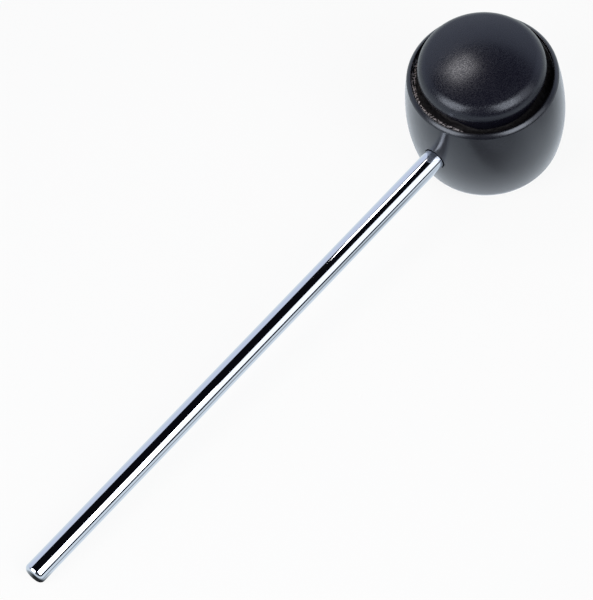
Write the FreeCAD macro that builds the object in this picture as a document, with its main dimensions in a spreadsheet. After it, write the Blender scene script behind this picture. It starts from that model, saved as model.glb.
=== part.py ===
import FreeCAD, Part
import os
import re
import Sketcher
from FreeCAD import Vector
from math import hypot, sqrt

# Bass drum beater: a chrome rod in the side of a moulded barrel, with a domed rubber pad in its front.
# Millimetres. The barrel stands on its flat back, centred on the origin, with the pad facing +Z.
# The rod leaves the barrel along -X.

doc = FreeCAD.newDocument("bass_drum_beater")

SIZES = (
    # shaft
    ("shaft_diameter", 8.0, "the size that pedal clamps take"),
    ("shaft_reach", 239.0, "head axis to the free end"),
    ("tip_round", 1.6, "rounding of the free end"),
    ("shoulder_step", 0.75, "shoulder that stops the shaft on the bush, measured on the radius"),
    ("spigot_chamfer", 0.6, "lead-in on the end inside the head"),
    ("axis_depth", 13.2, "recess floor down to the shaft's axis"),
    # barrel
    ("barrel_height", 45.0, "flat back to the crest of the lip"),
    ("rim_diameter", 53.9, "where the side would reach the plane of the lip's crest"),
    ("belly_bulge", 1.8, "how far the belly stands out past the rim, on the radius"),
    ("belly_height", 24.9, "widest ring above the back"),
    ("back_draw", 4.4, "how far the side draws in from the belly to the back, on the radius"),
    ("back_round", 10.0, "rounding between side and back"),
    ("lip_thickness", 1.6, "wall left round the recess, at the crest"),
    ("lip_round", 1.6, "rounding of the lip's outer edge"),
    ("lip_edge", 0.15, "rounding of its inner edge"),
    ("recess_depth", 6.8, "crest of the lip to the floor that the pad is glued to"),
    ("mouth_gap", 0.65, "room round the shaft in the barrel's side hole"),
    ("mouth_round", 0.25, "rounding of the side hole's edge"),
    # bush in the barrel, and the pin that locks the shaft in it
    ("bush_offset", 17.0, "head axis to the bush's mouth"),
    ("bush_length", 28.0, "overall"),
    ("bush_end_wall", 2.0, "closed end"),
    ("bush_wall", 2.5, "round the bore, at the waist"),
    ("collar_step", 1.6, "how far each collar stands out of the waist"),
    ("collar_width", 3.5, "each of the two collars that key into the moulding"),
    ("spigot_end_gap", 0.3, "left between the shaft's end and the bush's end wall"),
    ("fit_gap", 0.02, "radial gap of shaft in bush and of pin in its hole"),
    ("pin_diameter", 3.0, "spring pin"),
    ("pin_wall", 0.6, "its rolled strip"),
    ("pin_slot", 0.7, "the slit along it"),
    ("pin_sink", 0.5, "pin's top below the recess floor"),
    ("pin_tail", 3.5, "how far the pin runs on past the bush"),
    # pad and the glue that beds it
    ("glue_bed", 0.4, "under the pad's foot"),
    ("glue_width", 4.85, "ring of glue between the foot and the recess wall"),
    ("glue_drop", 2.4, "edge of the glue below the crest of the lip"),
    ("glue_dish", 6.5, "radius of the hollow in the glue's surface"),
    ("pad_overhang", 2.5, "how far the pad's edge stands out over its foot"),
    ("pad_rise", 3.65, "pad's widest ring above the crest of the lip"),
    ("pad_edge", 4.0, "radius under the widest ring"),
    ("pad_shoulder", 6.0, "radius over the widest ring"),
    ("crown_rise", 3.25, "how far the crown stands over the shoulder"),
    # all cuts
    ("overrun", 5.0, "how far a cut runs on past the surface that it leaves by"),
)

sheet = doc.addObject("Spreadsheet::Sheet", "sizes")
for row, (alias, size, note) in enumerate(SIZES, 1):
    sheet.set(f"A{row}", alias)
    sheet.set(f"B{row}", str(size))
    sheet.set(f"C{row}", note)
    sheet.setAlias(f"B{row}", alias)
doc.recompute()

# Sizes that follow from the driving ones, each written once as an expression
SHAFT = "shaft_diameter / 2"
SPIGOT = f"({SHAFT} - shoulder_step)"
BORE = f"({SPIGOT} + fit_gap)"
WAIST = f"({BORE} + bush_wall)"
COLLAR = f"({WAIST} + collar_step)"
BORE_DEPTH = "(bush_length - bush_end_wall)"
SHOULDER = "(shaft_reach - bush_offset)"
SHAFT_LENGTH = f"({SHOULDER} + {BORE_DEPTH} - spigot_end_gap)"
RIM = "rim_diameter / 2"
BELLY = f"({RIM} + belly_bulge)"
BACK = f"({BELLY} - back_draw)"
RECESS = f"({RIM} - lip_thickness)"
FLOOR = "(barrel_height - recess_depth)"
AXIS = f"({FLOOR} - axis_depth)"
MOUTH = f"({SHAFT} + mouth_gap)"
PIN = "pin_diameter / 2"
PIN_HOLE = f"({PIN} + fit_gap)"
PIN_TOP = f"({FLOOR} - pin_sink)"
PIN_FOOT = f"({AXIS} - {COLLAR} - pin_tail)"
FOOT = f"({RECESS} - glue_width)"
PAD = f"({FOOT} + pad_overhang)"
PAD_WIDEST = "(recess_depth - glue_bed + pad_rise)"
PAD_CROWN = f"({PAD_WIDEST} + pad_shoulder + crown_rise)"
GLUE_EDGE = "(recess_depth - glue_drop)"

# how a sketch numbers the points of an edge, and its own two axes
START, END, CENTRE = range(1, 4)
H_AXIS, V_AXIS = range(-1, -3, -1)
ORIGIN = (H_AXIS, START)


def value(text):
    """The number that an expression in the sheet's names comes to."""
    return float(sheet.evalExpression(text))


def bind(thing, target, text):
    """Tie one property or constraint to an expression in the sheet's names."""
    names = "|".join(alias for alias, _, _ in SIZES)
    thing.setExpression(target, re.sub(rf"\b({names})\b", r"sizes.\1", text))


def new_body(label, x="", y="", z=""):
    """A sub-part in its own frame, placed by expressions."""
    body = doc.addObject("PartDesign::Body", label)
    body.Label = label
    for letter, text in zip("xyz", (x, y, z)):
        if text:
            bind(body, f"Placement.Base.{letter}", text)
    return body


def new_sketch(body, name, role):
    sketch = body.newObject("Sketcher::SketchObject", name)
    plane = next(feature for feature in body.Origin.OriginFeatures if feature.Role == role)
    sketch.AttachmentSupport = [(plane, "")]
    sketch.MapMode = "FlatFace"
    return sketch


def rule(sketch, *parts):
    return sketch.addConstraint(Sketcher.Constraint(*parts))


def measure(sketch, text, *parts):
    """A dimension of the sketch, bound to its expression."""
    number = rule(sketch, *parts, value(text))
    bind(sketch, f"Constraints[{number}]", text)


def pin_point(sketch, geometry, end, x, y):
    """Hold one point of the sketch at two expressions, or on an axis where one is zero."""
    for text, axis, kind in ((x, V_AXIS, "DistanceX"), (y, H_AXIS, "DistanceY")):
        if text == "0":
            rule(sketch, "PointOnObject", geometry, end, axis)
        else:
            measure(sketch, text, kind, *ORIGIN, geometry, end)


def add_line(sketch, start, end):
    return sketch.addGeometry(Part.LineSegment(Vector(*start), Vector(*end)), False)


def add_arc(sketch, start, middle, end):
    """An arc through three points; the sketch stores it anticlockwise, so they are given that way round."""
    arc = Part.Arc(Vector(*start), Vector(*middle), Vector(*end))
    return sketch.addGeometry(arc, False)


def corners_outline(sketch, corners):
    """A closed outline of straight edges, each corner held at its own two expressions."""
    points = [(value(x), value(y)) for x, y in corners]
    edges = [add_line(sketch, a, b) for a, b in zip(points, points[1:] + points[:1])]
    for edge, after in zip(edges, edges[1:] + edges[:1]):
        rule(sketch, "Coincident", edge, END, after, START)
    for edge, (x, y) in zip(edges, corners):
        pin_point(sketch, edge, START, x, y)


def turned(body, sketch, axis_name, kind="PartDesign::Revolution"):
    """A full turn of a half section about one of the sketch's axes."""
    feature = body.newObject(kind, f"{sketch.Name}_turned")
    feature.Profile = sketch
    feature.ReferenceAxis = (sketch, [axis_name])
    sketch.Visibility = False
    doc.recompute()
    return feature


def cross_hole(body, name, x, z_top, depth, radius):
    """A round hole along -Z from a height, for the lock pin."""
    sketch = new_sketch(body, f"{name}_sketch", "XY_Plane")
    bind(sketch, "AttachmentOffset.Base.z", z_top)
    circle = Part.Circle(Vector(value(x), 0, 0), Vector(0, 0, 1), value(radius))
    hole = sketch.addGeometry(circle, False)
    measure(sketch, radius, "Radius", hole)
    pin_point(sketch, hole, CENTRE, x, "0")
    before = body.Shape.Volume
    pocket = body.newObject("PartDesign::Pocket", name)
    pocket.Profile = sketch
    bind(pocket, "Length", depth)
    doc.recompute()
    if not pocket.Shape.Volume < before:
        raise RuntimeError(f"{body.Label}: {name} cuts nothing")


def rounded(body, name, radius, wanted):
    """Round the edges of the body's last feature that a test picks out."""
    base = body.Tip
    picked = [f"Edge{i}" for i, edge in enumerate(base.Shape.Edges, 1) if wanted(edge)]
    if not picked:
        raise RuntimeError(f"{body.Label}: {name} finds no edge")
    fillet = body.newObject("PartDesign::Fillet", name)
    fillet.Base = (base, picked)
    bind(fillet, "Radius", radius)
    doc.recompute()


def is_mouth(edge):
    """A piece of the side hole's outer edge: one hole radius from the shaft's axis, and not along it."""
    start, middle, end = edge.discretize(3)
    on_hole = all(abs(hypot(p.y, p.z - value(AXIS)) - value(MOUTH)) < value("fit_gap")
                  for p in (start, middle, end))
    across = hypot(end.y - start.y, end.z - start.z) + hypot(middle.y - start.y, middle.z - start.z)
    return on_hole and middle.x < -value(RECESS) and across > value("mouth_gap")


def add_bend(sketch, centre, radius, start, end):
    """An arc of under half a circle between two points."""
    x, y = (start[0] + end[0]) / 2 - centre[0], (start[1] + end[1]) / 2 - centre[1]
    reach = radius / hypot(x, y)
    return add_arc(sketch, start, (centre[0] + x * reach, centre[1] + y * reach), end)


def upright_arc(belly, end):
    """Centre and radius of the arc that stands upright at one point and passes through another."""
    draw, rise = belly[0] - end[0], belly[1] - end[1]
    radius = (rise ** 2 + draw ** 2) / (2 * draw)
    return (belly[0] - radius, belly[1]), radius


def round_in(centre, radius, height, size):
    """Centre, at a height, of a rounding that touches an arc from inside, and the point where they meet."""
    inner = radius - size
    across, rise = sqrt(inner ** 2 - (height - centre[1]) ** 2), height - centre[1]
    meet = (centre[0] + across * radius / inner, centre[1] + rise * radius / inner)
    return (centre[0] + across, height), meet


def make_shaft():
    """Steel rod: rounded free end, shoulder on the bush's mouth, spigot drilled across for the pin."""
    body = new_body("shaft", x="-shaft_reach", z=AXIS)
    sketch = new_sketch(body, "shaft_half_section", "XZ_Plane")
    r, tip = value(SHAFT), value("tip_round")
    face = add_line(sketch, (0, 0), (0, r - tip))
    corner = add_bend(sketch, (tip, r - tip), tip, (tip, r), (0, r - tip))
    wall = add_line(sketch, (tip, r), (value(SHOULDER), r))
    shoulder = add_line(sketch, (value(SHOULDER), r), (value(SHOULDER), value(SPIGOT)))
    lead_x, lead_r = f"{SHAFT_LENGTH} - spigot_chamfer", f"{SPIGOT} - spigot_chamfer"
    spigot = add_line(sketch, (value(SHOULDER), value(SPIGOT)), (value(lead_x), value(SPIGOT)))
    lead = add_line(sketch, (value(lead_x), value(SPIGOT)), (value(SHAFT_LENGTH), value(lead_r)))
    end = add_line(sketch, (value(SHAFT_LENGTH), value(lead_r)), (value(SHAFT_LENGTH), 0))
    axis = add_line(sketch, (value(SHAFT_LENGTH), 0), (0, 0))
    rule(sketch, "Tangent", face, END, corner, END)
    rule(sketch, "Tangent", corner, START, wall, START)
    chain = (wall, shoulder, spigot, lead, end, axis, face)
    for edge, after in zip(chain, chain[1:]):
        rule(sketch, "Coincident", edge, END, after, START)
    rule(sketch, "Coincident", face, START, *ORIGIN)
    rule(sketch, "Vertical", face)
    rule(sketch, "Horizontal", wall)
    measure(sketch, "tip_round", "Radius", corner)
    pin_point(sketch, shoulder, START, SHOULDER, SHAFT)
    pin_point(sketch, spigot, START, SHOULDER, SPIGOT)
    pin_point(sketch, lead, START, lead_x, SPIGOT)
    pin_point(sketch, end, START, SHAFT_LENGTH, lead_r)
    pin_point(sketch, axis, START, SHAFT_LENGTH, "0")
    turned(body, sketch, "H_Axis")
    clear = f"({SPIGOT} + overrun)"
    cross_hole(body, "pin_hole", "shaft_reach", clear, f"2 * {clear}", PIN_HOLE)
    return body


def make_bush():
    """Metal bush with a closed end and two collars, which the barrel is moulded round."""
    body = new_body("shaft_bush", x="-bush_offset", z=AXIS)
    sketch = new_sketch(body, "bush_half_section", "XZ_Plane")
    second = "(bush_length - collar_width)"
    corners_outline(sketch, (
        ("0", BORE),
        ("0", COLLAR),
        ("collar_width", COLLAR),
        ("collar_width", WAIST),
        (second, WAIST),
        (second, COLLAR),
        ("bush_length", COLLAR),
        ("bush_length", "0"),
        (BORE_DEPTH, "0"),
        (BORE_DEPTH, BORE),
    ))
    turned(body, sketch, "H_Axis")
    clear = f"({COLLAR} + overrun)"
    cross_hole(body, "pin_hole", "bush_offset", clear, f"2 * {clear}", PIN_HOLE)
    return body


def make_barrel():
    """Moulded barrel: bulged side, rounded back, rounded lip, front recess and side hole."""
    body = new_body("barrel")
    sketch = new_sketch(body, "barrel_half_section", "XZ_Plane")
    height, floor, recess = value("barrel_height"), value(FLOOR), value(RECESS)
    widest, foot, brow = (value(BELLY), value("belly_height")), (value(BACK), 0), (value(RIM), height)
    back_size, lip_size, edge_size = value("back_round"), value("lip_round"), value("lip_edge")

    # the side is two arcs that meet upright at the belly and run towards the back's and the lip's corners
    low_centre, low_radius = upright_arc(widest, foot)
    high_centre, high_radius = upright_arc(widest, brow)
    heel_centre, heel_end = round_in(low_centre, low_radius, back_size, back_size)
    lip_centre, lip_start = round_in(high_centre, high_radius, height - lip_size, lip_size)
    heel_start, lip_end = (heel_centre[0], 0), (lip_centre[0], height)
    inner_centre = (recess + edge_size, height - edge_size)
    inner_start, inner_end = (inner_centre[0], height), (recess, inner_centre[1])

    back = add_line(sketch, (0, 0), heel_start)
    heel = add_bend(sketch, heel_centre, back_size, heel_start, heel_end)
    low = add_bend(sketch, low_centre, low_radius, heel_end, widest)
    high = add_bend(sketch, high_centre, high_radius, widest, lip_start)
    lip = add_bend(sketch, lip_centre, lip_size, lip_start, lip_end)
    crest = add_line(sketch, lip_end, inner_start)
    inner = add_bend(sketch, inner_centre, edge_size, inner_start, inner_end)
    wall = add_line(sketch, inner_end, (recess, floor))
    seat = add_line(sketch, (recess, floor), (0, floor))
    axis = add_line(sketch, (0, floor), (0, 0))
    smooth = (back, heel, low), (high, lip, crest, inner, wall)
    for run in smooth:
        for edge, after in zip(run, run[1:]):
            rule(sketch, "Tangent", edge, END, after, START)
    for edge, after in ((low, high), (wall, seat), (seat, axis), (axis, back)):
        rule(sketch, "Coincident", edge, END, after, START)
    pin_point(sketch, back, START, "0", "0")
    rule(sketch, "Horizontal", back)
    for arc, radius in ((heel, "back_round"), (lip, "lip_round"), (inner, "lip_edge")):
        measure(sketch, radius, "Radius", arc)
    pin_point(sketch, high, START, BELLY, "belly_height")
    for arc, corner, x, y in ((low, foot, BACK, "0"), (high, brow, RIM, "barrel_height")):
        measure(sketch, "belly_height", "DistanceY", *ORIGIN, arc, CENTRE)
        mark = sketch.addGeometry(Part.Point(Vector(*corner)), True)
        pin_point(sketch, mark, START, x, y)
        rule(sketch, "PointOnObject", mark, START, arc)
    rule(sketch, "Horizontal", crest)
    measure(sketch, "barrel_height", "DistanceY", *ORIGIN, crest, START)
    rule(sketch, "Vertical", wall)
    pin_point(sketch, seat, START, RECESS, FLOOR)
    pin_point(sketch, axis, START, "0", FLOOR)
    turned(body, sketch, "V_Axis")

    # the hollow for shaft and bush is turned about the shaft's axis
    hollow = new_sketch(body, "shaft_hollow_half_section", "XZ_Plane")
    bind(hollow, "AttachmentOffset.Base.y", AXIS)
    mouth_x, bush_end = f"-({BELLY} + overrun)", "bush_length - bush_offset"
    corners_outline(hollow, (
        (mouth_x, "0"),
        (mouth_x, MOUTH),
        ("-bush_offset", MOUTH),
        ("-bush_offset", COLLAR),
        ("collar_width - bush_offset", COLLAR),
        ("collar_width - bush_offset", WAIST),
        (f"{bush_end} - collar_width", WAIST),
        (f"{bush_end} - collar_width", COLLAR),
        (bush_end, COLLAR),
        (bush_end, "0"),
    ))
    before = body.Shape.Volume
    turned(body, hollow, "H_Axis", "PartDesign::Groove")
    if not body.Shape.Volume < before:
        raise RuntimeError("the side hole cuts nothing")
    rounded(body, "mouth_rounding", "mouth_round", is_mouth)
    cross_hole(body, "pin_hole", "0", FLOOR, f"{FLOOR} - {PIN_FOOT}", PIN_HOLE)
    return body


def make_pin():
    """Spring pin, a strip rolled into a slit tube, driven through bush and spigot from the recess floor."""
    body = new_body("lock_pin", z=PIN_FOOT)
    sketch = new_sketch(body, "pin_section", "XY_Plane")
    outer, inner, half = value(PIN), value(f"{PIN} - pin_wall"), value("pin_slot") / 2
    outer_x, inner_x = sqrt(outer ** 2 - half ** 2), sqrt(inner ** 2 - half ** 2)
    skin = add_arc(sketch, (outer_x, half), (-outer, 0), (outer_x, -half))
    low = add_line(sketch, (outer_x, -half), (inner_x, -half))
    hollow = add_arc(sketch, (inner_x, half), (-inner, 0), (inner_x, -half))
    high = add_line(sketch, (inner_x, half), (outer_x, half))
    rule(sketch, "Coincident", skin, END, low, START)
    rule(sketch, "Coincident", low, END, hollow, END)
    rule(sketch, "Coincident", hollow, START, high, START)
    rule(sketch, "Coincident", high, END, skin, START)
    for arc, radius in ((skin, PIN), (hollow, f"{PIN} - pin_wall")):
        rule(sketch, "Coincident", arc, CENTRE, *ORIGIN)
        measure(sketch, radius, "Radius", arc)
    measure(sketch, "pin_slot / 2", "DistanceY", *ORIGIN, high, START)
    rule(sketch, "Horizontal", high)
    measure(sketch, "-pin_slot / 2", "DistanceY", *ORIGIN, low, START)
    rule(sketch, "Horizontal", low)
    pad = body.newObject("PartDesign::Pad", "pin_length")
    pad.Profile = sketch
    bind(pad, "Length", f"{PIN_TOP} - {PIN_FOOT}")
    doc.recompute()
    return body


def make_glue():
    """Glue under the pad's foot and welled up round it, with a hollow surface between foot and lip."""
    body = new_body("pad_adhesive", z=FLOOR)
    sketch = new_sketch(body, "glue_half_section", "XZ_Plane")
    recess, foot, edge_z, bed = value(RECESS), value(FOOT), value(GLUE_EDGE), value("glue_bed")
    dish, half = value("glue_dish"), (recess - foot) / 2
    sag = dish - sqrt(dish ** 2 - half ** 2)
    under = add_line(sketch, (0, 0), (recess, 0))
    wall = add_line(sketch, (recess, 0), (recess, edge_z))
    surface = add_arc(sketch, (foot, edge_z), (foot + half, edge_z - sag), (recess, edge_z))
    inner = add_line(sketch, (foot, edge_z), (foot, bed))
    over = add_line(sketch, (foot, bed), (0, bed))
    axis = add_line(sketch, (0, bed), (0, 0))
    rule(sketch, "Coincident", under, END, wall, START)
    rule(sketch, "Coincident", wall, END, surface, END)
    rule(sketch, "Coincident", surface, START, inner, START)
    for edge, after in ((inner, over), (over, axis), (axis, under)):
        rule(sketch, "Coincident", edge, END, after, START)
    pin_point(sketch, under, START, "0", "0")
    pin_point(sketch, wall, START, RECESS, "0")
    pin_point(sketch, wall, END, RECESS, GLUE_EDGE)
    pin_point(sketch, inner, START, FOOT, GLUE_EDGE)
    pin_point(sketch, over, START, FOOT, "glue_bed")
    pin_point(sketch, axis, START, "0", "glue_bed")
    measure(sketch, "glue_dish", "Radius", surface)
    turned(body, sketch, "V_Axis")
    return body


def make_pad():
    """Rubber pad: straight foot, edge that swells out over it, rounded shoulder and a low dome."""
    body = new_body("striking_pad", z=f"{FLOOR} + glue_bed")
    sketch = new_sketch(body, "pad_half_section", "XZ_Plane")
    foot, widest, wide_z, crown = value(FOOT), value(PAD), value(PAD_WIDEST), value(PAD_CROWN)
    edge, shoulder = value("pad_edge"), value("pad_shoulder")
    # the dome's arc is centred on the axis and meets the shoulder's arc smoothly
    reach, rise = widest - shoulder, crown - wide_z
    dome = (reach ** 2 + rise ** 2 - shoulder ** 2) / (2 * (rise - shoulder))
    dome_z = crown - dome
    share = dome / hypot(reach, wide_z - dome_z)
    meet = (reach * share, dome_z + (wide_z - dome_z) * share)
    rim, peak = (widest, wide_z), (0, crown)
    neck = (foot, wide_z - sqrt(edge ** 2 - (foot - widest + edge) ** 2))

    base = add_line(sketch, (0, 0), (foot, 0))
    stem = add_line(sketch, (foot, 0), neck)
    under = add_bend(sketch, (widest - edge, wide_z), edge, neck, rim)
    over = add_bend(sketch, (reach, wide_z), shoulder, rim, meet)
    top = add_bend(sketch, (0, dome_z), dome, meet, peak)
    axis = add_line(sketch, peak, (0, 0))
    for line, after in ((base, stem), (stem, under), (under, over), (top, axis), (axis, base)):
        rule(sketch, "Coincident", line, END, after, START)
    rule(sketch, "Tangent", over, END, top, START)
    pin_point(sketch, base, START, "0", "0")
    pin_point(sketch, stem, START, FOOT, "0")
    rule(sketch, "Vertical", stem)
    pin_point(sketch, over, START, PAD, PAD_WIDEST)
    for arc, radius in ((under, "pad_edge"), (over, "pad_shoulder")):
        measure(sketch, radius, "Radius", arc)
        measure(sketch, PAD_WIDEST, "DistanceY", *ORIGIN, arc, CENTRE)
    rule(sketch, "PointOnObject", top, CENTRE, V_AXIS)
    pin_point(sketch, axis, START, "0", PAD_CROWN)
    turned(body, sketch, "V_Axis")
    return body


bodies = [make_shaft(), make_bush(), make_barrel(), make_pin(), make_glue(), make_pad()]
doc.recompute()

for thing in doc.Objects:
    if "Invalid" in thing.State or "Error" in thing.State:
        raise RuntimeError(f"{thing.Label} failed: {thing.State}")
for body in bodies:
    if body.Shape.isNull() or not body.Shape.isValid() or len(body.Shape.Solids) != 1:
        raise RuntimeError(f"{body.Label} is not one good solid")

os.makedirs("parts", exist_ok=True)
for body in bodies:
    body.Shape.exportStep(f"parts/{body.Label}.step")
    box = body.Shape.optimalBoundingBox()
    spans = (box.XMin, box.XMax), (box.YMin, box.YMax), (box.ZMin, box.ZMax)
    shown = ", ".join(f"{axis} {low:.2f} to {high:.2f}" for axis, (low, high) in zip("xyz", spans))
    print(f"{body.Label}: {body.Shape.Volume:.0f} mm3, {shown}")
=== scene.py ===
# %% Load the measured parts
import bmesh
import bpy
from math import acos, asin, atan2, cos, degrees, hypot, pi, radians, sin, sqrt, tau
from mathutils import Matrix, Vector, noise


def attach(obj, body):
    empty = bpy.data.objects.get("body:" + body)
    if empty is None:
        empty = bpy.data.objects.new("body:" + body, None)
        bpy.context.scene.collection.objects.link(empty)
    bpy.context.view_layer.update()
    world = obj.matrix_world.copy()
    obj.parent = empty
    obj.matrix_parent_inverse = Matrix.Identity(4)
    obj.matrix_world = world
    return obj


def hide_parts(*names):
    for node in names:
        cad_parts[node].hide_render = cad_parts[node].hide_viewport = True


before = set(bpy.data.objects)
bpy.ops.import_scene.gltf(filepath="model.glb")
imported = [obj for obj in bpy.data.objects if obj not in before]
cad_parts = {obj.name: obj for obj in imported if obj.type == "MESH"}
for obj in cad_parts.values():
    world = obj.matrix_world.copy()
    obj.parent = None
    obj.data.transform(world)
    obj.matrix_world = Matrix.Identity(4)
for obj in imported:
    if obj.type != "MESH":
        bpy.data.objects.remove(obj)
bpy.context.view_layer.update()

MM = 0.001
print("parts:", ", ".join(sorted(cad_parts)))

# %% [markdown]
# A bass drum beater is a plain steel rod with a heavy head on one end. A pedal clamps the rod and swings the head
# at the drum. This one lies on a white table: chrome rod, black moulded barrel, and a domed rubber pad that is
# glued into the barrel's open front. The measured parts are already in place, so the lesson is about their looks:
# smooth meshes in the same places, finishes, a table, lamps and a camera.

# %% [markdown]
# The camera comes first, because every later choice is judged through it. A product photographer works from far
# back with a long lens, so the rod hardly narrows towards its tip. Aiming at a point on the rod and then rolling
# the camera is easier to read than three angles, and it needs no lens shift.

# %% Camera
ROD_HEIGHT = 25 * MM
CAMERA_PLACE = Vector((-462.4, -443.6, 962.2)) * MM
CAMERA_AIM = Vector((-103.3 * MM, 0.5 * MM, ROD_HEIGHT))
CAMERA_ROLL = radians(-11.46)
SENSOR_WIDTH = 36
LENS = 188.24
FARTHEST = 20

eye = bpy.data.cameras.new("camera")
eye.sensor_width = SENSOR_WIDTH
eye.lens = LENS
eye.clip_end = FARTHEST
camera = bpy.data.objects.new("camera", eye)
bpy.context.scene.collection.objects.link(camera)
sight = CAMERA_AIM - CAMERA_PLACE
turn = sight.to_track_quat("-Z", "Y").to_matrix().to_4x4() @ Matrix.Rotation(CAMERA_ROLL, 4, "Z")
camera.matrix_world = Matrix.Translation(CAMERA_PLACE) @ turn
bpy.context.scene.camera = camera
downwards = degrees(asin(-sight.z / sight.length))
print(f"camera {sight.length:.2f} m from the rod, looking down {downwards:.0f} degrees")

# %% [markdown]
# Every visible piece of the beater is turned, so each is drawn as a half section and spun. The half section itself
# is drawn with bmesh operators too: a straight run extrudes the last vertex, and a bend spins it about a centre.
# That gives exact arcs from a centre and an angle, with no list of points.

# %% Half sections
MERGE = 0.0001 * MM


class Outline:
    """A half section in the XZ plane, drawn with the piece on its left hand."""

    def __init__(self, radius, height):
        self.shape = bmesh.new()
        self.tip = self.shape.verts.new((radius, 0, height))

    def run(self, radius, height):
        """A straight edge to a point."""
        made = bmesh.ops.extrude_vert_indiv(self.shape, verts=[self.tip])
        self.tip = made["verts"][0]
        self.tip.co = (radius, 0, height)
        return self

    def bend(self, radius, height, angle, steps):
        """An arc about a centre, anticlockwise where the angle is positive."""
        made = bmesh.ops.spin(self.shape, geom=[self.tip], cent=(radius, 0, height), axis=(0, -1, 0),
                              angle=angle, steps=steps)
        self.tip = next(part for part in made["geom_last"] if isinstance(part, bmesh.types.BMVert))
        return self

    def turned(self, steps):
        """Spin the whole outline round the Z axis and close it."""
        bmesh.ops.spin(self.shape, geom=self.shape.verts[:] + self.shape.edges[:], cent=(0, 0, 0), axis=(0, 0, 1),
                       angle=tau, steps=steps, use_merge=True)
        bmesh.ops.remove_doubles(self.shape, verts=self.shape.verts, dist=MERGE)
        bmesh.ops.recalc_face_normals(self.shape, faces=self.shape.faces)
        return self.shape


print("outlines can be drawn")

# %% [markdown]
# The rod is polished and chrome plated, and its free end is cut square with a small rounding. The measured part
# has the same shape, but its facets would show in a mirror, so it is spun again, finely, and laid down along X. The
# end inside the head is hidden, and is kept because the rod really stops on a shoulder there.

# %% Rod
ROD = 4.0 * MM
ROD_REACH = 239.0 * MM
TIP_ROUND = 1.6 * MM
SHOULDER = -17.0 * MM
SPIGOT = 3.25 * MM
SPIGOT_END = 8.7 * MM
LEAD_IN = 0.6 * MM
CREASE = 40


def lay_along_rod(shape):
    """Turn a shape from the Z axis down to the rod's axis."""
    bmesh.ops.rotate(shape, verts=shape.verts, cent=(0, 0, 0), matrix=Matrix.Rotation(pi / 2, 3, "Y"))
    bmesh.ops.translate(shape, verts=shape.verts, vec=(0, 0, ROD_HEIGHT))


def smooth(mesh, crease):
    """Shade a mesh smooth, except at edges sharper than the crease in degrees."""
    mesh.shade_smooth()
    mesh.set_sharp_from_angle(angle=radians(crease))


def new_piece(name, shape, crease=CREASE):
    """Put a bmesh in the scene as an object at the origin."""
    mesh = bpy.data.meshes.new(name)
    shape.to_mesh(mesh)
    shape.free()
    smooth(mesh, crease)
    piece = bpy.data.objects.new(name, mesh)
    bpy.context.scene.collection.objects.link(piece)
    print(f"{name}: {len(mesh.polygons)} faces")
    return piece


rod_outline = Outline(0, -ROD_REACH)
rod_outline.run(ROD - TIP_ROUND, -ROD_REACH)
rod_outline.bend(ROD - TIP_ROUND, -ROD_REACH + TIP_ROUND, pi / 2, steps=16)
rod_outline.run(ROD, SHOULDER).run(SPIGOT, SHOULDER).run(SPIGOT, SPIGOT_END - LEAD_IN)
rod_outline.run(SPIGOT - LEAD_IN, SPIGOT_END).run(0, SPIGOT_END)
rod_shape = rod_outline.turned(steps=192)
lay_along_rod(rod_shape)
rod = new_piece("rod", rod_shape)

# %% [markdown]
# Every finish below is a node tree, and trees made by hand in Python soon get long. One small class keeps them
# short: it wraps a socket, so that sums on it add Math nodes, and its node method adds any other node with its
# settings first and its sockets after.


# %% Sums that add nodes
class Wire:
    """One output socket of a node tree, or the bare tree to start from."""

    def __init__(self, tree, socket=None):
        self.tree = tree
        self.socket = socket

    def node(self, kind, settings=None, sockets=None, out=0):
        """Add a node: settings first, then each socket's value or link. Gives the wire of one output."""
        made = self.tree.nodes.new(kind)
        for name, setting in (settings or {}).items():
            setattr(made, name, setting)
        for name, given in (sockets or {}).items():
            if isinstance(given, Wire):
                self.tree.links.new(given.socket, made.inputs[name])
            else:
                made.inputs[name].default_value = given
        return Wire(self.tree, made.outputs[out]) if made.outputs else None

    def sum(self, operation, left, right):
        """A Math node on two values, either of them a wire or a number."""
        return self.node("ShaderNodeMath", {"operation": operation}, {0: left, 1: right})

    def __add__(self, other):
        return self.sum("ADD", self, other)

    def __radd__(self, other):
        return self.sum("ADD", other, self)

    def __sub__(self, other):
        return self.sum("SUBTRACT", self, other)

    def __rsub__(self, other):
        return self.sum("SUBTRACT", other, self)

    def __mul__(self, other):
        return self.sum("MULTIPLY", self, other)

    def __rmul__(self, other):
        return self.sum("MULTIPLY", other, self)

    def __truediv__(self, other):
        return self.sum("DIVIDE", self, other)

    def __rtruediv__(self, other):
        return self.sum("DIVIDE", other, self)

    def gauge(self, operation, *others):
        """One number from vectors: a dot product, a distance or a length."""
        vectors = dict(enumerate((self, *others)))
        return self.node("ShaderNodeVectorMath", {"operation": operation}, vectors, "Value")

    def ramp(self, low, high, start=0.0, end=1.0):
        """Smoothly from start, where this value is low, to end, where it is high."""
        return self.node("ShaderNodeMapRange", {"interpolation_type": "SMOOTHSTEP"}, {
            "Value": self, "From Min": low, "From Max": high, "To Min": start, "To Max": end})

    def mix(self, first, second):
        """Between two colours, by this value."""
        return self.node("ShaderNodeMix", {"data_type": "RGBA"}, {0: self, 6: first, 7: second}, out=2)


print("nodes can be added")

# %% [markdown]
# All finishes start alike: with an empty tree, and with the place on the piece in the piece's own coordinates, so
# that a pattern stays on it wherever it goes. Noise by place makes a finish as uneven as a real one. A finished
# piece then stands for the measured part that it was spun after.


# %% Starting a finish
def blank(owner):
    """The empty node tree of a material or of the world."""
    owner.use_nodes = True
    owner.node_tree.nodes.clear()
    return Wire(owner.node_tree)


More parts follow.
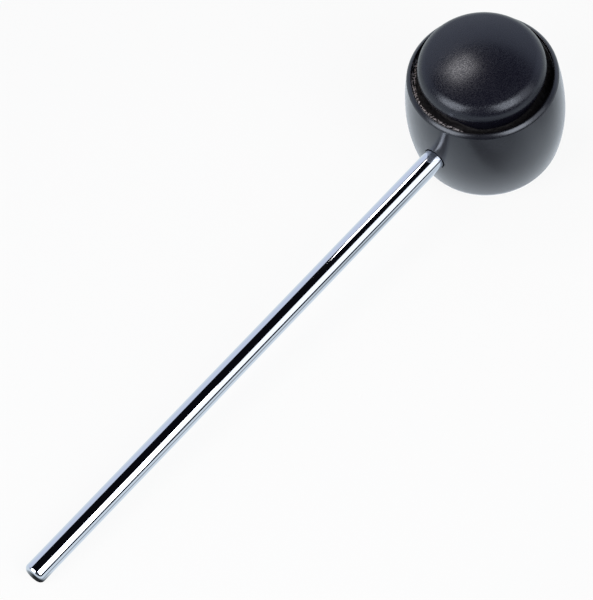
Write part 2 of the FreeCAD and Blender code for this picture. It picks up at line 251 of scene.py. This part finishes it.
def new_finish(name):
    """A new material, its empty tree, and the wire of the place on the piece."""
    finish = bpy.data.materials.new(name)
    tree = blank(finish)
    return finish, tree, tree.node("ShaderNodeTexCoord", out="Object")


def speckle(place, scale, detail):
    """Noise by place: a larger scale gives finer specks, and detail breaks up their edges."""
    return place.node("ShaderNodeTexNoise", sockets={"Vector": place, "Scale": scale, "Detail": detail})


def dress(piece, node, finish):
    """The piece stands for a measured part, rides with it and takes its finish."""
    piece.data.materials.append(finish)
    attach(piece, "root")
    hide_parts(node)
    print(f"{piece.name} is finished in {finish.name} and stands for {node}")


print("finishes can be started")

# %% [markdown]
# Chrome is a mirror with a cool tint. Real plating is never quite even: polishing leaves faint streaks along the
# rod, and handling leaves soft smears. Noise stretched along the rod varies the roughness by a little.

# %% Chrome
CHROME_TINT = (0.62, 0.66, 0.74, 1)
STREAK_SCALE = (15, 700, 700)

chrome, plating, place = new_finish("chrome")
along = plating.node("ShaderNodeMapping", sockets={"Vector": place, "Scale": STREAK_SCALE})
streaks = speckle(along, scale=1.0, detail=3.0)
smears = speckle(place, scale=60.0, detail=2.0)
shine = plating.node("ShaderNodeBsdfPrincipled", sockets={
    "Base Color": CHROME_TINT, "Metallic": 1.0, "Roughness": 0.02 + 0.05 * streaks * smears})
plating.node("ShaderNodeOutputMaterial", sockets={"Surface": shine})
dress(rod, "shaft", chrome)

# %% [markdown]
# The barrel is one heavy moulding. Its side is two arcs that stand upright at the belly, its back is rounded, and
# its open front ends in a lip round a recess for the pad. The lip is a soft sloping face between two small
# roundings: a broad face catches broad patches of light, where a tight round edge would show only a thin line. The
# centre of each arc is found from the barrel's measured sizes, so that the arcs join without a kink.

# %% Barrel arcs
HEIGHT = 45.0 * MM
RIM = 26.95 * MM
BELLY = 28.75 * MM
BELLY_HEIGHT = 24.9 * MM
BACK_DRAW = 4.4 * MM
HEEL_ROUND = 10.0 * MM
LIP_FOOT = 43.45 * MM
LIP_EDGE = 0.35 * MM
LIP_SWELL = radians(18)
RECESS = 25.35 * MM


def upright_arc(draw, rise):
    """Centre and radius of the arc that stands upright at the belly and draws in over a rise."""
    size = (rise ** 2 + draw ** 2) / (2 * draw)
    return BELLY - size, size


low_centre, low_size = upright_arc(BACK_DRAW, BELLY_HEIGHT)
high_centre, high_size = upright_arc(BELLY - RIM, HEIGHT - BELLY_HEIGHT)
heel_angle = asin((BELLY_HEIGHT - HEEL_ROUND) / (low_size - HEEL_ROUND))
heel_x = low_centre + (low_size - HEEL_ROUND) * cos(heel_angle)
lip_angle = asin((LIP_FOOT - BELLY_HEIGHT) / (high_size - LIP_EDGE))
lip_foot = Vector((high_centre + (high_size - LIP_EDGE) * cos(lip_angle), LIP_FOOT))
lip_top = Vector((RECESS + LIP_EDGE, HEIGHT - LIP_EDGE))
lip_fall = lip_foot - lip_top
lip_slope = atan2(-lip_fall.y, lip_fall.x)
lip_size = LIP_EDGE + lip_fall.length / (2 * sin(LIP_SWELL))
lip_out = Vector((sin(lip_slope + LIP_SWELL), cos(lip_slope + LIP_SWELL)))
lip_centre = lip_foot - (lip_size - LIP_EDGE) * lip_out
print(f"heel rounding starts {heel_x / MM:.2f} mm from the axis")
print(f"the lip's soft face has radius {lip_size / MM:.2f} mm")

# %% [markdown]
# The half section runs from the middle of the back, round the outside and over the lip, and then down into the
# recess and back to the axis. Each arc is a bend about its own centre. The flat back and the recess floor are drawn
# in four rings each, so that no face there is as long as the whole radius.

# %% Barrel
RECESS_FLOOR = 38.2 * MM

barrel_outline = Outline(0, 0)
for share in (0.25, 0.5, 0.75, 1):
    barrel_outline.run(heel_x * share, 0)
barrel_outline.bend(heel_x, HEEL_ROUND, pi / 2 - heel_angle, steps=20)
barrel_outline.bend(low_centre, BELLY_HEIGHT, heel_angle, steps=24)
barrel_outline.bend(high_centre, BELLY_HEIGHT, lip_angle, steps=24)
barrel_outline.bend(lip_foot.x, lip_foot.y, pi / 2 - lip_slope - LIP_SWELL - lip_angle, steps=8)
barrel_outline.bend(lip_centre.x, lip_centre.y, 2 * LIP_SWELL, steps=16)
barrel_outline.bend(lip_top.x, lip_top.y, pi / 2 + lip_slope - LIP_SWELL, steps=10)
barrel_outline.run(RECESS, RECESS_FLOOR)
for share in (0.75, 0.5, 0.25, 0):
    barrel_outline.run(RECESS * share, RECESS_FLOOR)
barrel = new_piece("head_barrel", barrel_outline.turned(steps=288))

# %% [markdown]
# The rod goes into a plain hole in the barrel's side. The moulding closes round a metal bush further in, and a pin
# crosses both. Two turned cutters stand for those hollows. The larger one flares at the mouth, and its mouth is
# pushed to follow the barrel's curved side, so that the hole's edge is rounded evenly all round.

# %% Cutters
MOUTH = 4.35 * MM
MOUTH_ROUND = 0.25 * MM
MOUTH_SWEEP = radians(65)
BUSH_MOUTH, BUSH_END = -17.0 * MM, 11.0 * MM
COLLAR_WIDTH = 3.5 * MM
WAIST = 5.77 * MM
COLLAR = 7.37 * MM
PIN_HOLE = 1.52 * MM
PIN_FOOT = 14.13 * MM
OVERRUN = 5 * MM

cutter_outline = Outline(0, BUSH_END).run(COLLAR, BUSH_END).run(COLLAR, BUSH_END - COLLAR_WIDTH)
cutter_outline.run(WAIST, BUSH_END - COLLAR_WIDTH).run(WAIST, BUSH_MOUTH + COLLAR_WIDTH)
cutter_outline.run(COLLAR, BUSH_MOUTH + COLLAR_WIDTH).run(COLLAR, BUSH_MOUTH).run(MOUTH, BUSH_MOUTH)
cutter_outline.run(MOUTH, -BELLY + MOUTH_ROUND)
cutter_outline.bend(MOUTH + MOUTH_ROUND, -BELLY + MOUTH_ROUND, MOUTH_SWEEP, steps=6)
flare = cutter_outline.tip.co.copy()
cutter_outline.run(flare.x + OVERRUN / 2, -BELLY - OVERRUN).run(0, -BELLY - OVERRUN)
cutter_shape = cutter_outline.turned(steps=96)
lay_along_rod(cutter_shape)
for corner in cutter_shape.verts:
    if corner.co.x < BUSH_MOUTH:
        rise = corner.co.z - BELLY_HEIGHT
        centre, size = (low_centre, low_size) if rise < 0 else (high_centre, high_size)
        girth = centre + sqrt(size ** 2 - rise ** 2)
        share = (corner.co.x - BUSH_MOUTH) / (-BELLY - BUSH_MOUTH)
        corner.co.x += share * (BELLY - sqrt(girth ** 2 - corner.co.y ** 2))
hollow = new_piece("hollow", cutter_shape)

pin_outline = Outline(0, PIN_FOOT).run(PIN_HOLE, PIN_FOOT).run(PIN_HOLE, RECESS_FLOOR + OVERRUN)
pin_hole = new_piece("pin_hole", pin_outline.run(0, RECESS_FLOOR + OVERRUN).turned(steps=32))

# %% [markdown]
# A Boolean modifier takes one mesh out of another. Its result is read from the evaluated piece and the modifier
# goes, so that a plain mesh is left. Cuts leave many-sided faces and slivers behind, so the mesh is then cleaned,
# and its open edges are counted: a sound mesh has none. The pin's hole goes through barrel and rod alike.

# %% Side hole
SLIVER = 0.001 * MM


def cut_away(piece, cutter):
    """Take a cutter's shape out of a piece, then clear the slivers that the cut leaves."""
    cut = piece.modifiers.new(cutter.name, "BOOLEAN")
    cut.operation = "DIFFERENCE"
    cut.solver = "EXACT"
    cut.object = cutter
    bpy.context.view_layer.update()
    done = bpy.data.meshes.new_from_object(piece.evaluated_get(bpy.context.evaluated_depsgraph_get()))
    piece.modifiers.remove(cut)
    shape = bmesh.new()
    shape.from_mesh(done)
    bmesh.ops.remove_doubles(shape, verts=shape.verts, dist=SLIVER)
    bmesh.ops.triangulate(shape, faces=[face for face in shape.faces if len(face.verts) > 4])
    bmesh.ops.dissolve_degenerate(shape, edges=shape.edges, dist=SLIVER)
    open_edges = sum(not edge.is_manifold for edge in shape.edges)
    shape.to_mesh(done)
    shape.free()
    smooth(done, CREASE)
    piece.data = done
    print(f"{piece.name} without {cutter.name}: {len(done.polygons)} faces, {open_edges} open edges")


cut_away(barrel, hollow)
cut_away(barrel, pin_hole)
cut_away(rod, pin_hole)
bpy.data.objects.remove(hollow)
bpy.data.objects.remove(pin_hole)

# %% [markdown]
# The moulding is black, dense and satin: dark from the front, and pale at grazing angles, where it mirrors the
# table. That comes from the shader's own Fresnel, so the base colour stays almost black, and a little sheen adds
# the dusty paleness of its edges. Fine noise in roughness and bump gives the slightly uneven skin of a moulding.
# The lip has no dust: handling polishes it, so a second, glossier shader takes over there by height.

# %% Black moulding
COOL = (0.82, 0.88, 1.0, 1.0)
LIP_BLEND = 0.3 * MM

moulding, skin, place = new_finish("black_moulding")
height = skin.node("ShaderNodeSeparateXYZ", sockets={0: place}, out="Z")
lip = height.ramp(LIP_FOOT - LIP_BLEND, LIP_FOOT + LIP_BLEND)
cloudy = speckle(place, scale=120.0, detail=3.0)
fine = speckle(place, scale=2200.0, detail=2.0)
bumps = skin.node("ShaderNodeBump", sockets={"Height": fine, "Strength": 0.1, "Distance": 0.1 * MM})
black = cloudy.mix((0.002, 0.002, 0.004, 1), (0.004, 0.004, 0.007, 1))
satin = skin.node("ShaderNodeBsdfPrincipled", sockets={
    "Base Color": black, "Roughness": 0.14 + 0.06 * cloudy, "IOR": 1.47, "Specular Tint": COOL, "Normal": bumps,
    "Sheen Weight": 0.55, "Sheen Roughness": 0.38, "Sheen Tint": COOL})
polish = skin.node("ShaderNodeBsdfPrincipled", sockets={
    "Base Color": black, "Roughness": 0.24 + 0.06 * cloudy, "IOR": 1.58, "Specular Tint": COOL, "Normal": bumps})
whole = skin.node("ShaderNodeMixShader", sockets={0: lip, 1: satin, 2: polish})
skin.node("ShaderNodeOutputMaterial", sockets={"Surface": whole})
dress(barrel, "barrel", moulding)

# %% [markdown]
# The pad is one piece of dense rubber, shaped like a low mushroom: a straight foot in the recess, an edge that
# swells out over it, a round shoulder and a low dome. It is drawn from the foot up, one bend for each arc, and the
# angle where shoulder and dome meet follows from their centres.

# %% Pad
FOOT = 20.5 * MM
PAD_BASE = 38.6 * MM
WIDEST = 23.0 * MM
WIDEST_HEIGHT = 48.65 * MM
PAD_EDGE = 4.0 * MM
PAD_SHOULDER = 6.0 * MM
CROWN = 57.9 * MM

across, rise = WIDEST - PAD_SHOULDER, CROWN - WIDEST_HEIGHT
dome = (across ** 2 + rise ** 2 - PAD_SHOULDER ** 2) / (2 * (rise - PAD_SHOULDER))
dome_centre = CROWN - dome
meet = atan2(WIDEST_HEIGHT - dome_centre, across)
neck_angle = acos((FOOT - WIDEST + PAD_EDGE) / PAD_EDGE)

pad_outline = Outline(0, PAD_BASE).run(FOOT, PAD_BASE)
pad_outline.run(FOOT, WIDEST_HEIGHT - PAD_EDGE * sin(neck_angle))
pad_outline.bend(WIDEST - PAD_EDGE, WIDEST_HEIGHT, neck_angle, steps=16)
pad_outline.bend(across, WIDEST_HEIGHT, meet, steps=28)
pad_outline.bend(0, dome_centre, pi / 2 - meet, steps=28)
pad = new_piece("rubber_pad", pad_outline.turned(steps=256))
print(f"dome radius {dome / MM:.1f} mm")

# %% [markdown]
# Rubber is duller than the barrel, and a fine grain breaks up what it reflects, as where the near lamp falls on
# the dome. The grain goes into roughness and bump, because it is finer than a mesh could carry. The bump fades out
# towards the widest part, where no striking wears the rubber.

# %% Rubber
WORN_FROM = 4 * MM

rubber, skin, place = new_finish("rubber")
height = skin.node("ShaderNodeSeparateXYZ", sockets={0: place}, out="Z")
cloudy = speckle(place, scale=90.0, detail=4.0)
grain = speckle(place, scale=2200.0, detail=2.0)
raised = grain * height.ramp(WIDEST_HEIGHT, WIDEST_HEIGHT + WORN_FROM)
bumps = skin.node("ShaderNodeBump", sockets={"Height": raised, "Strength": 0.4, "Distance": 0.05 * MM})
dull = skin.node("ShaderNodeBsdfPrincipled", sockets={
    "Base Color": cloudy.mix((0.003, 0.003, 0.007, 1), (0.006, 0.006, 0.011, 1)),
    "Roughness": grain.ramp(0.35, 0.65, start=0.21, end=0.38), "IOR": 1.48, "Specular Tint": COOL, "Normal": bumps})
skin.node("ShaderNodeOutputMaterial", sockets={"Surface": dull})
dress(pad, "striking_pad", rubber)

# %% [markdown]
# Between lip and pad a ring of set glue shows. It welled up when the pad was pressed in, and its skin wrinkled as
# it dried. The ring is spun like the rest, from a finely divided hollow arc, and then its top is pushed up and down
# by noise in the mesh, because wrinkles this coarse must catch the light from every side. It sank lower in front,
# where the gap looks black.

# %% Glue ring
GLUE_BED = 0.4 * MM
GLUE_EDGE = 42.6 * MM
GLUE_DISH = 6.5 * MM
WRINKLE = 0.45 * MM
WRINKLE_SIZE = 1.6 * MM
WRINKLE_FADE = 0.6 * MM
MEAN_FOLD = 0.6
SLUMP = 2.4 * MM
SLUMP_START, SLUMP_FULL = 0.47, 0.74


def towards(azimuth, elevation=0):
    """The direction at an azimuth from +X and an elevation, both in degrees."""
    level = cos(radians(elevation))
    return Vector((level * cos(radians(azimuth)), level * sin(radians(azimuth)), sin(radians(elevation))))


FRONT = towards(257)
half = (RECESS - FOOT) / 2
dish_angle = asin(half / GLUE_DISH)
dish_height = GLUE_EDGE + GLUE_DISH * cos(dish_angle)
glue_outline = Outline(0, RECESS_FLOOR).run(RECESS, RECESS_FLOOR).run(RECESS, GLUE_EDGE)
glue_outline.bend(FOOT + half, dish_height, -2 * dish_angle, steps=26)
glue_outline.run(FOOT, RECESS_FLOOR + GLUE_BED).run(0, RECESS_FLOOR + GLUE_BED)
glue_shape = glue_outline.turned(steps=420)
for spot in glue_shape.verts:
    if spot.co.z > RECESS_FLOOR + 2 * GLUE_BED:
        reach = hypot(spot.co.x, spot.co.y)
        inside = min(1, (RECESS - reach) / WRINKLE_FADE, (reach - FOOT) / WRINKLE_FADE)
        folds = noise.turbulence(spot.co / WRINKLE_SIZE, 3, True)
        front = (spot.co.dot(FRONT) / reach - SLUMP_START) / (SLUMP_FULL - SLUMP_START)
        spot.co.z += inside * WRINKLE * (folds - MEAN_FOLD) - SLUMP * min(1, max(0, front))
glue = new_piece("glue_ring", glue_shape, crease=80)

# %% [markdown]
# The glue is black and dull. Pale specks are painted into its colour as glints, on the rod's side, where light
# reaches its wrinkles along the lip. Dot products with a direction tell that side from the rest, the distance from
# the axis keeps the painted glints near the lip and out of the pad's shadow, and noise breaks them into specks.

# %% Set glue
GLINT_SIDE = towards(158)
BROAD_SIDE = towards(205)
NARROW_BAND, BROAD_BAND = 23.8 * MM, 22.6 * MM
BAND_FADE = 0.6 * MM

set_glue, skin, place = new_finish("set_glue")
# the side that the light reaches, where glints are painted into the colour
glint_side = place.gauge("DOT_PRODUCT", GLINT_SIDE).ramp(14 * MM, 18 * MM)
broad = place.gauge("DOT_PRODUCT", BROAD_SIDE)
band_start = broad.ramp(14 * MM, 23 * MM, start=NARROW_BAND, end=BROAD_BAND)
level_place = skin.node("ShaderNodeVectorMath", {"operation": "MULTIPLY"}, {0: place, 1: (1, 1, 0)})
band = (level_place.gauge("LENGTH") - band_start).ramp(0, BAND_FADE)
cloudy = speckle(place, scale=1500.0, detail=4.0)
# painted glints: pale specks in the base colour, standing in for light caught by the wrinkles
specks = glint_side * band * cloudy.ramp(0.49, 0.57)
bumps = skin.node("ShaderNodeBump", sockets={"Height": cloudy, "Strength": 0.4, "Distance": 0.2 * MM})
tacky = skin.node("ShaderNodeBsdfPrincipled", sockets={
    "Base Color": specks.mix((0.008, 0.007, 0.008, 1), (0.52, 0.48, 0.50, 1)),
    "Roughness": 0.5 - 0.2 * specks, "IOR": 1.22, "Normal": bumps})
skin.node("ShaderNodeOutputMaterial", sockets={"Surface": tacky})
dress(glue, "pad_adhesive", set_glue)

# %% [markdown]
# Two metal pieces sit unseen in the head: the bush that the rod stands in, and the pin that locks it. Their
# measured shapes stay, and they get plain machined finishes in case someone takes the head apart.

# %% Inner metal
BRASS = (0.72, 0.52, 0.22, 1)
STEEL = (0.45, 0.45, 0.46, 1)


def machined(name, colour, roughness):
    """Bare metal with faint turning marks."""
    metal, bare, place = new_finish(name)
    marks = speckle(place, scale=900.0, detail=3.0)
    body = bare.node("ShaderNodeBsdfPrincipled", sockets={
        "Base Color": colour, "Metallic": 1.0, "Roughness": roughness - 0.1 + 0.2 * marks})
    bare.node("ShaderNodeOutputMaterial", sockets={"Surface": body})
    return metal


for node, finish in (("shaft_bush", machined("turned_brass", BRASS, roughness=0.3)),
                     ("lock_pin", machined("spring_steel", STEEL, roughness=0.4))):
    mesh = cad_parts[node].data
    mesh.materials.clear()
    mesh.materials.append(finish)
    print(node, "is finished in", finish.name)

# %% [markdown]
# Laid down, a beater tips until the rod's tip touches the table, because the rod outweighs the edge of the head's
# flat back. So the table leans a little in the beater's own frame: it touches the rounding of the head's back and
# the rounding of the rod's tip. The lean comes from those two circles, seen from the side.

# %% Table
TABLE_HALF = 3

heel_centre = Vector((-heel_x, HEEL_ROUND))
tip_centre = Vector((TIP_ROUND - ROD_REACH, ROD_HEIGHT - ROD + TIP_ROUND))
span = heel_centre - tip_centre
lean = asin((HEEL_ROUND - TIP_ROUND) / span.length) - atan2(span.y, span.x)
drop = heel_centre.x * sin(lean) + heel_centre.y * cos(lean) - HEEL_ROUND

flat = bmesh.new()
bmesh.ops.create_grid(flat, x_segments=1, y_segments=1, size=TABLE_HALF)
bmesh.ops.rotate(flat, verts=flat.verts, cent=(0, 0, 0), matrix=Matrix.Rotation(lean, 3, "Y"))
bmesh.ops.translate(flat, verts=flat.verts, vec=(drop * sin(lean), 0, drop * cos(lean)))
table = new_piece("table", flat)
print(f"table leans {degrees(lean):.2f} degrees, {drop / MM:.2f} mm from the origin")

# %% [markdown]
# For the camera and in reflections the table glows, so that it reads as white paper, and it still takes the beater's
# shadow. In reflections the glow fades in three places, where the photographer's own shade would fall: in front of
# the head, right of it, which parts the pad from the lip there, and close round the rod's tip, which gives the rod
# a clear end. A fourth shade lies along the rod like its soft shadow: it is drawn by distance from the rod over the
# rod's height, so it widens up to the head.

# %% Paper
WHITE = (1, 1, 1, 1)
PAPER_GREY = (0.62, 0.62, 0.62, 1)
REFLECTED_WHITE = (0.89, 0.965, 1, 1)
ROD_SHADE_DEPTH = 0.6


def shade(place, centre, inner, outer, depth):
    """1 beyond the outer distance from a centre, down to the depth within the inner one, all in millimetres."""
    return place.gauge("DISTANCE", Vector(centre) * MM).ramp(inner * MM, outer * MM, start=depth)


paper, sheet, place = new_finish("paper")
front_shade = shade(place, (-45, -60, 0), inner=15, outer=58, depth=0.6)
right_shade = shade(place, (66, -88, -7), inner=5, outer=80, depth=0.25)
tip_shade = shade(place, (-241, -2, 21), inner=3, outer=10, depth=0.03)

lengthways, sideways, upward = (sheet.node("ShaderNodeSeparateXYZ", sockets={0: place}, out=axis)
                                for axis in "XYZ")
slant = (sideways + ROD) / (ROD_HEIGHT - upward)
strip = slant.ramp(-2.4, -1.65) * slant.ramp(-1.0, -1.4) * lengthways.ramp(-15 * MM, -40 * MM)
rod_shade = 1 - ROD_SHADE_DEPTH * strip

seen, glossy, through = (sheet.node("ShaderNodeLightPath", out=name)
                         for name in ("Is Camera Ray", "Is Glossy Ray", "Is Transmission Ray"))
reflected = (front_shade * right_shade * tip_shade * rod_shade).mix((0, 0, 0, 1), REFLECTED_WHITE)
matt = sheet.node("ShaderNodeBsdfDiffuse", sockets={"Color": PAPER_GREY})
glow = sheet.node("ShaderNodeEmission", sockets={"Color": seen.mix(reflected, WHITE), "Strength": 1.0})
lit = sheet.node("ShaderNodeMixShader", sockets={0: seen * 0.9 + glossy + through, 1: matt, 2: glow})
sheet.node("ShaderNodeOutputMaterial", sockets={"Surface": lit})
table.data.materials.append(paper)
print("table is covered with", paper.name)

# %% [markdown]
# Chrome and black plastic have almost no colour of their own: they show the room. So the room is built with care.
# It is a tent of bluish white cloth, open and dark above, and open in front, where the photographer stands. The
# world shader draws it by direction: a patch is all that lies within an angle of one direction.

# %% World
CLOTH = (0.80, 0.86, 1.0, 1.0)
DARK = (0.004, 0.004, 0.006, 1.0)
GAP_DEPTH = 0.92


def patch(facing, direction, inner, outer):
    """1 within the inner angle of a direction, fading to 0 at the outer angle."""
    return facing.gauge("DOT_PRODUCT", direction).ramp(cos(radians(outer)), cos(radians(inner)))


world = bpy.data.worlds.new("studio")
bpy.context.scene.world = world
room = blank(world)
facing = room.node("ShaderNodeTexCoord", out="Generated")
opening = patch(facing, towards(0, 90), inner=43, outer=46)
gap = patch(facing, towards(225, 15), inner=75, outer=110)
cloth = (1 - opening) * (1 - GAP_DEPTH * gap)
tent = room.node("ShaderNodeBackground", sockets={"Color": cloth.mix(DARK, CLOTH), "Strength": 1.0})
room.node("ShaderNodeOutputWorld", sockets={"Surface": tent})
print("tent ready:", world.name)

# %% [markdown]
# Two soft boxes stand left and right of the camera. Their reflections make the two bright patches on the pad's
# shoulder and on the lip, and the broad white band along the rod. A dimmer panel stands further to the right. A
# small lamp hangs close behind the head: it lights the pad's dome, and shows in the rod only near the head. They
# are area lamps, which show in reflections as the bright panels that they are.

# %% Lamps
HEAD = Vector((0, 0, 40)) * MM
DOME_LAMP = Vector((7, 67.5, 183)) * MM
DOME_AIM = Vector((-15, 0, 40)) * MM
NEUTRAL = (1, 1, 1)
WARM = (1, 0.92, 0.85)


def soft_box(name, place, aim, width, height, radiance, colour=NEUTRAL):
    """A flat lamp at a place, turned to an aim, given by how bright it looks."""
    lamp = bpy.data.lights.new(name, "AREA")
    lamp.shape = "RECTANGLE"
    lamp.size = width
    lamp.size_y = height
    lamp.energy = radiance * pi * width * height
    lamp.color = colour
    box = bpy.data.objects.new(name, lamp)
    box.matrix_world = Matrix.Translation(place) @ (place - aim).to_track_quat("Z", "Y").to_matrix().to_4x4()
    box.visible_camera = False
    bpy.context.scene.collection.objects.link(box)
    print(f"{name}: {lamp.energy:.2f} W")


soft_box("left_box", towards(168, 34), HEAD, width=0.6, height=0.75, radiance=5.5)
soft_box("right_box", towards(260, 37), HEAD, width=0.5, height=0.8, radiance=5.5)
soft_box("side_panel", towards(288, 29), HEAD, width=0.55, height=0.95, radiance=1.5)
soft_box("near_lamp", DOME_LAMP, DOME_AIM, width=0.055, height=0.045, radiance=8.0, colour=WARM)

# %% [markdown]
# Black card is the other half of lighting chrome. A low strip that stands in front draws the thin dark line along
# the rod. It is hidden from the camera and casts no shadow.

# %% Black card
CARD_X, CARD_Y = -100 * MM, -175 * MM
CARD_TURN = radians(-22)
CARD_WIDTH, CARD_HEIGHT = 500 * MM, 60 * MM
CARD_BLACK = (0.004, 0.004, 0.004, 1)

card_black = bpy.data.materials.new("card_black")
card = blank(card_black)
body = card.node("ShaderNodeBsdfDiffuse", sockets={"Color": CARD_BLACK})
card.node("ShaderNodeOutputMaterial", sockets={"Surface": body})

card_shape = bmesh.new()
bmesh.ops.create_grid(card_shape, x_segments=1, y_segments=1, size=0.5)
bmesh.ops.scale(card_shape, verts=card_shape.verts, vec=(CARD_WIDTH, CARD_HEIGHT, 1))
for axis, angle in (("X", pi / 2), ("Z", CARD_TURN)):
    bmesh.ops.rotate(card_shape, verts=card_shape.verts, cent=(0, 0, 0), matrix=Matrix.Rotation(angle, 3, axis))
bmesh.ops.translate(card_shape, verts=card_shape.verts, vec=(CARD_X, CARD_Y, CARD_HEIGHT / 2))
front_card = new_piece("front_card", card_shape)
front_card.data.materials.append(card_black)
front_card.visible_camera = False
front_card.visible_shadow = False

# %% [markdown]
# Last comes the colour setting.

# %% Finish
bpy.context.scene.view_settings.view_transform = "Standard"
